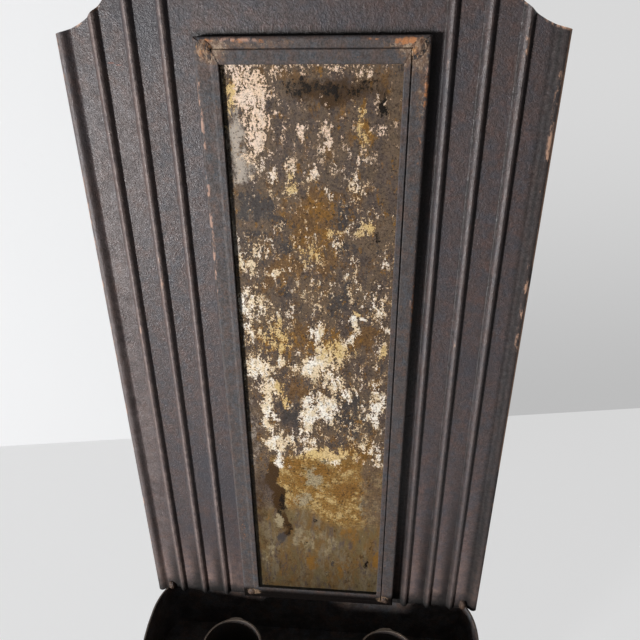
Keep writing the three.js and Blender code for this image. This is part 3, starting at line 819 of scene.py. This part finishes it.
# Foxed silvering: bare ground, a golden belt, a smooth lower end, and flakes of silver over them.
# A grain is (offset, size, stretch, gain), and is drawn out upwards where its stretch is small.
# Marks are as above: (across, up, half wide, half tall, strength).
silver = {
    "ground": paint(104, 89, 75), "mauve": paint(90, 79, 74), "slate": paint(70, 66, 66),
    "brown": paint(110, 84, 55), "ochre": paint(130, 95, 44), "umber": paint(48, 36, 25),
    "goldBase": paint(138, 106, 56), "goldPale": paint(186, 162, 114), "goldGrey": paint(156, 144, 118),
    "tan": paint(112, 88, 54), "olive": paint(108, 94, 66), "grey": paint(120, 108, 88),
    "fringe": paint(184, 138, 66), "cream": paint(236, 219, 190), "white": paint(250, 248, 244),
    "pink": paint(240, 212, 192), "gold": paint(218, 190, 126), "haze": paint(176, 168, 160),
    "dark": paint(20, 13, 7), "stain": paint(66, 46, 22),
    "flakes": [
        (-15.5, 244, 5.5, 19, 0.44), (-21, 254, 5, 8, 0.34), (-1.8, 241, 3, 3.5, 0.3),
        (7.5, 239, 2.2, 10, 0.22), (17, 240, 3.5, 12, 0.18), (-5, 231, 3, 3.5, 0.26),
        (2.3, 230, 2.5, 5, 0.26), (-5.5, 224, 3, 4.5, 0.26), (-0.6, 222, 2, 3, 0.24),
        (16.5, 223, 3.5, 5, 0.26), (-11.5, 226.5, 2.5, 3.5, 0.24), (7, 221, 1.5, 3, 0.2),
        (-18, 201, 8, 7, 0.17), (-22, 195.5, 5, 4, 0.22), (8.5, 208, 2.2, 2.6, 0.28),
        (20, 209, 4, 3.5, 0.24), (0.5, 199.5, 6, 6, 0.16), (11, 202, 3, 5, 0.18), (-11, 193, 2.2, 2, 0.28),
        (-17, 188.5, 4, 2, 0.28), (-22, 182, 5.5, 8, 0.32), (-12, 168, 7, 9, 0.3), (-21.5, 170, 4, 6, 0.26),
        (24.5, 182, 4, 9, 0.24), (26.5, 165, 3, 8, 0.3), (17.5, 178, 3.6, 1.8, 0.28),
        (20, 176, 1.8, 1.6, 0.5), (1, 170, 2.8, 6, 0.26), (8, 161, 9, 6, 0.32), (4, 167, 3, 8, 0.3),
        (13, 167, 6, 4, 0.3), (16.5, 172, 2.4, 6, 0.36), (0.5, 155, 7.5, 6, 0.5), (-20, 154, 7, 6, 0.42),
        (-11, 157, 3, 4, 0.26), (3, 181, 2.5, 1.5, 0.24), (8.5, 190, 1.5, 2, 0.24),
        (-15.5, 145.5, 7.5, 6, 0.36), (-17.2, 134, 2.4, 9.5, 0.5), (1.5, 137, 7.5, 10, 0.36),
        (7, 136, 4, 9, 0.24), (-2, 130, 4, 7, 0.4), (25.8, 137, 3.4, 12, 0.4), (-9.5, 139.5, 2, 4, 0.24),
        (-13.5, 120, 7, 5, 0.55), (-0.8, 119, 5, 8, 0.32), (-11.5, 125, 2, 2, 0.3), (12, 115, 8, 5, 0.24),
        (27.5, 114, 1.8, 9, 0.34), (-14, 92, 1.8, 3, 0.7), (8, 150, 6, 7, 0.36), (14, 146, 6, 8, 0.16),
        (-5, 179, 9, 6, 0.08), (14, 132, 8, 12, 0.08), (22, 119, 6, 5, 0.26), (-13.5, 110, 2.6, 6, 0.5),
        (4, 114, 14, 4, 0.3)],
    "bare": [
        (-5, 144.5, 4, 5.5, -0.5), (-23, 128, 2.8, 15, -0.5), (26, 222, 4, 24, -0.25),
        (-12, 216, 9, 5, -0.08), (20, 167, 3.5, 5, -0.4), (-3, 170, 2, 6, -0.3), (-10, 186, 8, 4, -0.06),
        (4, 213, 9, 8, -0.14), (-20, 102, 5, 10, -0.8), (14, 240, 4, 14, -0.05), (3, 248, 9, 6, -0.1),
        (24, 256, 7, 6, -0.2), (-18, 212, 9, 7, -0.16)],
    "brownMarks": [
        (2, 212, 14, 13, 0.36), (-9, 196, 9, 8, 0.24), (-14, 187, 9, 7, 0.24), (-5, 144.5, 4.5, 6, 0.5),
        (20, 168, 5, 6, 0.45), (-3, 171, 4, 7, 0.45), (20, 118, 9, 6, 0.3), (3, 196, 11, 7, 0.3)],
    "slateMarks": [
        (-17, 217, 9, 6, 0.45), (-18, 205, 7, 8, 0.2), (12, 213, 3.5, 5, 0.4), (-8, 203, 3.5, 3.5, 0.4),
        (-9, 212, 4, 3, 0.3), (12, 202, 5, 6, 0.26), (12, 181, 6, 10, 0.3), (-8, 186, 4, 4, 0.28),
        (-9, 135, 7, 10, 0.32), (15, 135, 10, 14, 0.34), (-13.5, 67, 4, 6, 0.45), (-7, 122, 3, 4, 0.24),
        (9, 52, 1.6, 1.8, 0.5)],
    "ochreMarks": [
        (18, 240, 5, 13, 0.2), (2, 208, 16, 13, 0.16), (-12, 166, 12, 11, 0.2), (8, 166, 12, 11, 0.2),
        (21, 116, 8, 8, 0.26), (14, 95, 8, 8, 0.55), (-8, 109, 5, 4, 0.6), (5, 105, 4, 3, 0.6),
        (14, 108, 6, 3, 0.4), (-5, 100, 4, 4, 0.3), (13.5, 48, 4, 9, 0.35), (28.5, 58, 3, 8, 0.45),
        (16, 70, 6, 9, 0.25), (0, 52, 5, 9, 0.2), (3, 66, 4, 8, 0.1), (6, 217, 8, 6, 0.16)],
    "goldMarks": [
        (18.4, 239, 3, 3.6, 0.9), (17, 246, 3, 8, 0.6), (-5.5, 225, 3, 5, 0.5), (8.5, 208, 3, 3, 0.6),
        (20, 209, 5, 4, 0.5), (0.5, 200, 6, 6, 0.45), (-12, 167, 8, 10, 0.6), (8, 164, 12, 9, 0.4),
        (17.5, 178, 4, 2.2, 0.8), (27, 162, 3, 6, 0.5), (-11, 146, 4, 5, 0.7), (-9.5, 139.5, 2.5, 4, 0.6),
        (10, 116, 12, 5, 0.8), (-24.2, 247, 2.8, 10, 1.2), (-2, 113, 8, 3, 0.6)],
    "paleMarks": [
        (1, 102, 6, 7, 0.55), (-4, 90, 5, 6, 0.5), (3, 112, 7, 3, 0.3), (22, 88, 3, 9, 0.3),
        (-5.5, 65, 8, 12, 0.2), (-14, 76.5, 3, 4.5, 0.7), (9, 62, 8, 12, 0.18), (0, 70, 12, 5, 0.1),
        (-20, 56, 5, 14, 0.18)],
    # pale haze; the marks along the left edge are also painted light that lifts the lip's shadow
    "hazeAndLightMarks": [
        (-23, 236, 3.4, 16, 0.5), (-19.5, 228, 4, 6, 0.4), (-25.2, 205, 1.6, 14, 0.5),
        (-23.5, 120, 3.4, 24, 0.25)],
    "blots": [
        (-2.5, 253.5, 6, 3.6, 0.42), (14, 252.5, 10, 3.6, 0.36), (6, 253.5, 6, 2.5, 0.28),
        (24.5, 248, 1.1, 5, 0.6), (24.5, 206, 1.2, 2.6, 0.5), (-13.2, 87, 2.2, 9.5, 0.5),
        (-11, 73, 1.3, 6, 0.4), (24, 54, 0.9, 3, 0.8), (-4.5, 64.5, 2.2, 1.2, 0.4),
        (0.4, 78, 1.6, 1.6, 0.5)],
    "stains": [
        (-16.5, 102, 3.8, 10, 0.9), (-14, 90, 3.2, 10, 0.95), (-11.5, 76, 2.2, 9, 0.6),
        (-12, 60, 14, 24, 0.1), (0, 38, 30, 4, 0.2), (-24, 60, 5, 34, 0.25), (8, 252, 18, 6, 0.5),
        (-22, 92, 4, 22, 0.3), (-3, 209, 13, 12, 0.2), (25, 250, 5, 14, 0.2)],
    # layers are (colour, its marks, grain, ramp)
    "groundLayers": [
        ("mauve", None, ((0, 0, 0), 6.0, 0.6, 2.0), (-0.12, 0.14)),
        ("brown", "brownMarks", ((60, 0, 20), 4.5, 0.6, 2.2), (0.1, 0.28)),
        ("slate", "slateMarks", ((20, 0, 70), 3.2, 0.6, 2.2), (0.16, 0.28)),
        ("ochre", "ochreMarks", ((-40, 0, 90), 2.0, 0.6, 2.2), (0.18, 0.28))],
    "beltLayers": [
        ("goldGrey", "paleMarks", ((4, 0, 12), 2.2, 1.0, 2.0), (0.24, 0.4)),
        ("ochre", "ochreMarks", ((7, 0, 61), 2.4, 1.0, 2.4), (0.16, 0.24))],
    "lowerLayers": [
        ("olive", None, ((5, 0, 2), 3.4, 0.28, 2.2), (-0.12, 0.16)),
        ("grey", None, ((25, 0, 2), 3.0, 0.28, 2.4), (-0.02, 0.24)),
        ("mauve", None, ((55, 0, 2), 3.6, 0.28, 2.4), (0.04, 0.3)),
        ("stain", None, ((75, 0, 2), 2.2, 0.6, 2.4), (0.14, 0.34, 0.0, 0.7)),
        ("goldGrey", "paleMarks", ((4, 0, 12), 3.4, 0.6, 1.6), (0.14, 0.5)),
        ("ochre", "ochreMarks", ((2, 0, 6), 4.5, 0.6, 1.8), (0.1, 0.4)),
        ("slate", "slateMarks", ((9, 0, 6), 4.0, 0.6, 1.4), (0.2, 0.5))],
    "veins": (7, 0.74),    # detail and roughness of every grain but the next two
    "ragged": ((0, 0, 0), 2.6, 0.6, 2.2), "raggedDetail": (9, 0.78),
    "speckle": ((3, 0, 8), 0.8, 1.0, 1.8), "speckleDetail": (5, 0.75),
    # outlines wander by these noises, times so many millimetres
    "bend": (((0, 0, 0), 6.0, 4, 0.65), 9.0), "wrinkle": (((9, 0, 4), 1.6, 4, 0.7), 3.5),
    "beltTop": (115.0, 111.0), "beltLean": (80.0, 112.0, -11.0, -17.0), "beltLeft": (-1.5, 1.0),
    "beltRight": (19.0, 23.5, 1.0, 0.25),
    "goldGrain": ((0, 0, 33), 3.0, 1.0, 2.4), "goldFall": (86.0, 108.0, 0.0, -0.06),
    "goldRamp": (-0.08, 0.18),
    "lowerTop": (81.5, 74.0), "lowerLean": (-3.0, 8.0, 7.0, -1.0), "lowerGrit": (0.0, 1.0, 1.0, 0.35),
    "mottleSpeckle": 1.5, "mottleRagged": 0.7, "hazeRamp": (0.15, 0.55),
    "pitGrain": ((1, 0, 1), 1.2, 1.0, 2.0), "pitRamp": (-0.26, -0.18, 0.75, 0.0),
    "stainFray": 0.6, "stainRamp": (0.12, 0.5),
    "flakeDrift": ((0, 0, 0), 6.5, 0.6, 1.0), "flakeStreaks": ((12, 0, 5), 1.7, 0.28, 1.1), "fray": 0.8,
    "flakesFrom": (84.0, 114.0, -0.8, 0.0), "flakesNearTop": (254.0, 258.0, 0.0, 0.12),
    "fringeRamp": (0.16, 0.24), "fringeUp": (215.0, 235.0, 0.75, 0.3), "flakeRamp": (0.23, 0.29),
    "whiteGrain": ((2, 0, 1), 3.0, 0.6, 2.0), "whiteRamp": (-0.1, 0.12), "pinkUp": (215.0, 240.0, 0.0, 0.7),
    "goldenRamp": (0.15, 0.5, 0.0, 0.85), "fleckShade": (-0.25, 0.15, 0.72, 1.06),
    "holeGrain": ((4, 0, 6), 0.9, 1.0, 2.0), "holeRamp": (-0.2, -0.13, 0.85, 0.0), "blotRamp": (0.3, 0.42),
    # painted shadow of the lip along the silvering's left edge
    "leftEdge": (0.5, 1.0, 0.95, 0.0),
    "tone": (0.85, 0.81, 0.755), "toneUp": (36.0, 68.0, 0.58, 1.0),    # the old glass yellows and dims it, and it is darker towards the bottom
    "roughness": (0.42, 0.6), "specular": 0.12, "bumps": 0.06,
}


def finishSilver(s):
    material, tree, shader, place = newMaterial("foxedSilver")
    across, up = split(tree, place, "XZ")

    def wander(noise, furthest):
        away = shift(tree, "SUBTRACT", cloud(tree, place, noise, output=1), (0.5, 0.5, 0.5))
        return shift(tree, "SCALE", away, furthest)

    bent = moved(tree, moved(tree, place, wander(*s["bend"])), wander(*s["wrinkle"]))
    bentAcross, bentUp = split(tree, bent, "XZ")

    def grain(given, detail=s["veins"]):
        offset, size, stretch, gain = given
        drawn = shift(tree, "MULTIPLY", place, (1, 1, stretch))
        return around(tree, cloud(tree, drawn, (offset, size, *detail)), gain)

    def near(marks, noise, ramp):
        return frayed(tree, bent, noise, s[marks], ramp)

    def layered(colour, layers):
        for tone, marks, given, ramp in layers:
            amount = near(marks, grain(given), ramp) if marks else fade(tree, grain(given), *ramp)
            colour = mixColours(tree, amount, colour, s[tone])
        return colour

    ragged = grain(s["ragged"], s["raggedDetail"])
    speckle = grain(s["speckle"], s["speckleDetail"])
    colour = layered(s["ground"], s["groundLayers"])

    # golden belt above the smooth lower end, which has drawn-out streaks
    belt = times(tree, fade(tree, bentUp, *s["beltTop"]),
                 fade(tree, minus(tree, across, fade(tree, up, *s["beltLean"])), *s["beltLeft"]))
    belt = times(tree, belt, fade(tree, bentAcross, *s["beltRight"]))
    goldCloud = plus(tree, grain(s["goldGrain"]), fade(tree, up, *s["goldFall"]))
    gold = mixColours(tree, fade(tree, goldCloud, *s["goldRamp"]), s["goldBase"], s["goldPale"])
    colour = mixColours(tree, belt, colour, layered(gold, s["beltLayers"]))
    lower = fade(tree, minus(tree, bentUp, fade(tree, across, *s["lowerLean"])), *s["lowerTop"])
    colour = mixColours(tree, lower, colour, layered(s["tan"], s["lowerLayers"]))

    # fine mottling, haze, dark pits and stains; along the left edge the haze is also painted light against
    # the lip's shadow
    grit = fade(tree, lower, *s["lowerGrit"])
    mottle = plus(tree, times(tree, speckle, s["mottleSpeckle"]), times(tree, ragged, s["mottleRagged"]))
    colour = shade(tree, colour, plus(tree, times(tree, grit, mottle), 1.0))
    colour = mixColours(tree, near("hazeAndLightMarks", ragged, s["hazeRamp"]), colour, s["haze"])
    pits = fade(tree, grain(s["pitGrain"]), *s["pitRamp"])
    colour = mixColours(tree, times(tree, pits, grit), colour, s["umber"])
    stained = near("stains", times(tree, ragged, s["stainFray"]), s["stainRamp"])
    colour = mixColours(tree, stained, colour, s["stain"])

    # flakes of silver, white to cream, with golden fringes
    field = total(tree, [
        grain(s["flakeDrift"]), ragged, times(tree, speckle, s["fray"]), grain(s["flakeStreaks"]),
        patches(tree, bent, s["flakes"]), patches(tree, bent, s["bare"]),
        fade(tree, bentUp, *s["flakesFrom"]), fade(tree, bentUp, *s["flakesNearTop"])])
    golden = plus(tree, patches(tree, bent, s["goldMarks"]), times(tree, ragged, s["fray"]))
    fringe = times(tree, fade(tree, field, *s["fringeRamp"]), fade(tree, up, *s["fringeUp"]))
    colour = mixColours(tree, fringe, colour, s["fringe"])
    flake = fade(tree, field, *s["flakeRamp"])
    fleck = mixColours(tree, fade(tree, grain(s["whiteGrain"]), *s["whiteRamp"]), s["cream"], s["white"])
    fleck = mixColours(tree, fade(tree, up, *s["pinkUp"]), fleck, s["pink"])
    fleck = mixColours(tree, fade(tree, golden, *s["goldenRamp"]), fleck, s["gold"])
    colour = mixColours(tree, flake, colour, shade(tree, fleck, fade(tree, speckle, *s["fleckShade"])))
    holes = times(tree, fade(tree, grain(s["holeGrain"]), *s["holeRamp"]), grit)
    colour = mixColours(tree, holes, colour, mixColours(tree, golden, s["umber"], s["brown"]))
    blotted = near("blots", plus(tree, ragged, times(tree, speckle, s["fray"])), s["blotRamp"])
    colour = mixColours(tree, blotted, colour, s["dark"])
    # painted shadow of the lip along the left edge
    fromLeft = minus(tree, across, boxOf("mirror_silvering")[0][0])
    colour = mixColours(tree, fade(tree, fromLeft, *s["leftEdge"]), colour, s["dark"])
    dimmed = shift(tree, "SCALE", s["tone"], fade(tree, up, *s["toneUp"]))
    colour = mixColours(tree, 1.0, colour, dimmed, "MULTIPLY")
    roughness = fade(tree, flake, 0.0, 1.0, *s["roughness"])
    dress(material, tree, shader, s, colour, roughness, field, "mirror_silvering")


finishSilver(silver)


# Old glass: almost clear, with a little dust and haze
glass = {
    "colour": paint(170, 168, 160), "alpha": 0.008, "specular": 0.2,
    "stretch": (1, 1, 0.3), "hazeNoise": ((0, 0, 0), 9.0, 5, 0.6), "hazeRamp": (0.45, 0.7),
    "haze": 0.02, "roughness": (0.12, 0.32),
}


def finishGlass(s):
    material, tree, shader, place = newMaterial("oldGlass")
    drawn = shift(tree, "MULTIPLY", place, s["stretch"])
    haze = fade(tree, cloud(tree, drawn, s["hazeNoise"]), *s["hazeRamp"])
    shader["Base Color"].default_value = s["colour"]
    feed(tree, shader["Alpha"], plus(tree, times(tree, haze, s["haze"]), s["alpha"]))
    feed(tree, shader["Roughness"], fade(tree, haze, 0.0, 1.0, *s["roughness"]))
    shader["Specular IOR Level"].default_value = s["specular"]
    shader["Metallic"].default_value = 0.0
    coat(material, "mirror_glass")


finishGlass(glass)
print("mirror finished")
